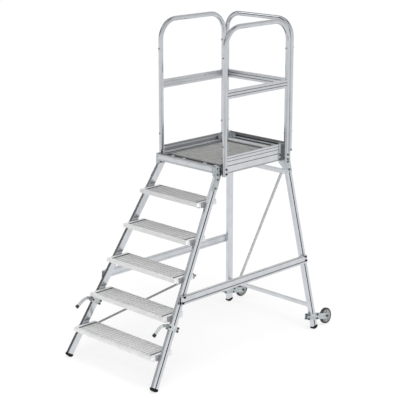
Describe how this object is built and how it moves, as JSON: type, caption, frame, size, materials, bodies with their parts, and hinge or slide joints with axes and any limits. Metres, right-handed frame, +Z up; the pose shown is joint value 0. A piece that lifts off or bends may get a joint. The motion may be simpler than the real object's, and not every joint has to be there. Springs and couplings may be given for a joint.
{
  "type": "mobile platform ladder",
  "caption": "Aluminium platform ladder with grating treads, a railed deck with toe boards, splayed legs, lift handles and rear castors that roll when it is tipped.",
  "frame": {"origin": "floor level, at the middle of the overall footprint", "axes": "+Z up, +Y the way a person faces when climbing, +X to that person's right"},
  "size_m": [0.9486, 1.9493, 2.432],
  "materials": {
    "aluminium": "satin mill finish",
    "tread_alu": "satin mill finish",
    "grating": "matt mill finish",
    "galvanised": "dull zinc coat",
    "dark_steel": "dark satin",
    "black_plastic": "matt",
    "tyre": "matt rubber",
    "hub": "satin"
  },
  "bodies": {
    "frame": {"left_stile": "aluminium", "right_stile": "aluminium", "left_leg": "aluminium", "right_leg": "aluminium", "foot_plugs": "black_plastic", "tread_1_frame": "tread_alu", "tread_2_frame": "tread_alu", "tread_3_frame": "tread_alu", "tread_4_frame": "tread_alu", "tread_5_frame": "tread_alu", "tread_1_grating": "grating", "tread_2_grating": "grating", "tread_3_grating": "grating", "tread_4_grating": "grating", "tread_5_grating": "grating", "tread_brackets": "dark_steel", "tread_bolts": "galvanised", "ladder_diagonal": "dark_steel", "left_handle": "galvanised", "right_handle": "galvanised", "handle_clamps": "galvanised", "handle_caps": "black_plastic", "left_side_brace": "aluminium", "right_side_brace": "aluminium", "brace_bolts": "dark_steel", "rear_bottom_bar": "aluminium", "rear_top_bar": "aluminium", "rear_diagonal": "aluminium", "left_side_beam": "aluminium", "right_side_beam": "aluminium", "front_nose_beam": "aluminium", "rear_beam": "aluminium", "deck_bearers": "galvanised", "deck_grating": "grating", "deck_clips": "galvanised", "front_gussets": "galvanised", "rear_gussets": "galvanised", "frame_bolts": "dark_steel", "left_toe_board": "aluminium", "right_toe_board": "aluminium", "rear_toe_board": "aluminium", "toe_angles": "galvanised", "left_guard_rail": "aluminium", "right_guard_rail": "aluminium", "rear_guard_rail": "aluminium", "left_knee_rail": "aluminium", "right_knee_rail": "aluminium", "rear_knee_rail": "aluminium", "post_saddles": "galvanised", "rail_plugs": "black_plastic", "castor_plates": "galvanised", "clamp_bolts": "galvanised", "castor_axles": "galvanised"},
    "left_wheel": {"left_tyre": "tyre", "left_hub": "hub"},
    "right_wheel": {"right_tyre": "tyre", "right_hub": "hub"}
  },
  "joints": [
    {"name": "left_wheel_spin", "type": "hinge", "parent": "frame", "child": "left_wheel", "pos_m": [-0.44865, 0.91216, 0.06802], "axis": [0.9925, 0, -0.1219], "continuous": true},
    {"name": "right_wheel_spin", "type": "hinge", "parent": "frame", "child": "right_wheel", "pos_m": [0.44865, 0.91216, 0.06802], "axis": [0.9925, 0, 0.1219], "continuous": true}
  ]
}
